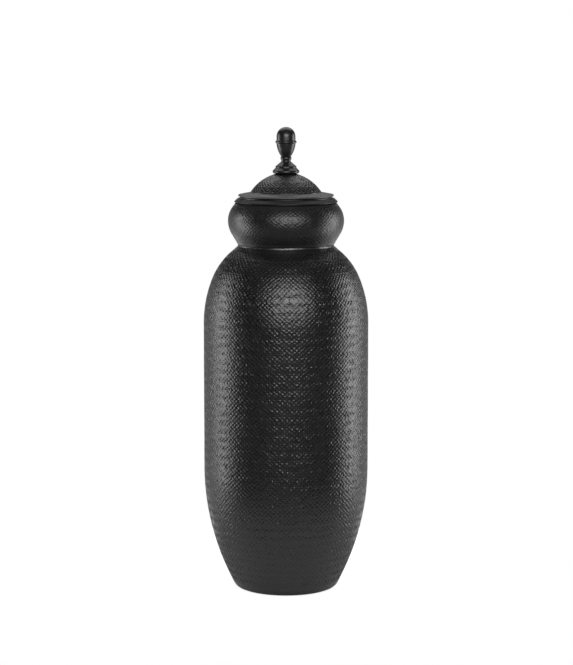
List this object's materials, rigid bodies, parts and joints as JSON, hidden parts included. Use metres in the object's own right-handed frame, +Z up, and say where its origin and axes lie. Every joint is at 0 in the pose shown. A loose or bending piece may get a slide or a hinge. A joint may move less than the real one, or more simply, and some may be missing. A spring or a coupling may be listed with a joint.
{
  "type": "lidded jar",
  "caption": "Tall black jar of hammered sheet metal with a bulbous neck and bevelled mouth rim, under a lift-off domed lid with a turned finial.",
  "frame": {"origin": "middle of the foot, on the surface that the jar stands on", "axes": "+Z up along the jar's axis; the jar is round, so X and Y are free"},
  "size_m": [0.2659, 0.266, 0.7476],
  "materials": {
    "hammered_sheet": "hammered all over, blackened, satin",
    "plain_sheet": "plain sheet, blackened, matt",
    "spun_sheet": "spun smooth, blackened, satin",
    "solder": "run solder, blackened, semi-gloss",
    "turned_metal": "turned, blackened, semi-gloss",
    "steel": "zinc plated"
  },
  "bodies": {
    "jar": {"body_shell": "hammered_sheet", "base_disc": "plain_sheet", "neck_bowl": "hammered_sheet", "neck_seam": "solder", "mouth_rim": "spun_sheet"},
    "lid": {"lid_dome": "hammered_sheet", "lid_brim": "spun_sheet", "lid_spigot": "plain_sheet", "finial_foot": "turned_metal", "finial_skirt": "turned_metal", "finial_bead": "turned_metal", "finial_cup": "turned_metal", "finial_cap": "turned_metal", "finial_stud": "steel", "finial_washer": "steel", "finial_nut": "steel"}
  },
  "joints": [
    {"name": "lid_lift", "type": "slide", "parent": "jar", "child": "lid", "axis": [0, 0, 1], "range_m": [0, 0.15]}
  ]
}
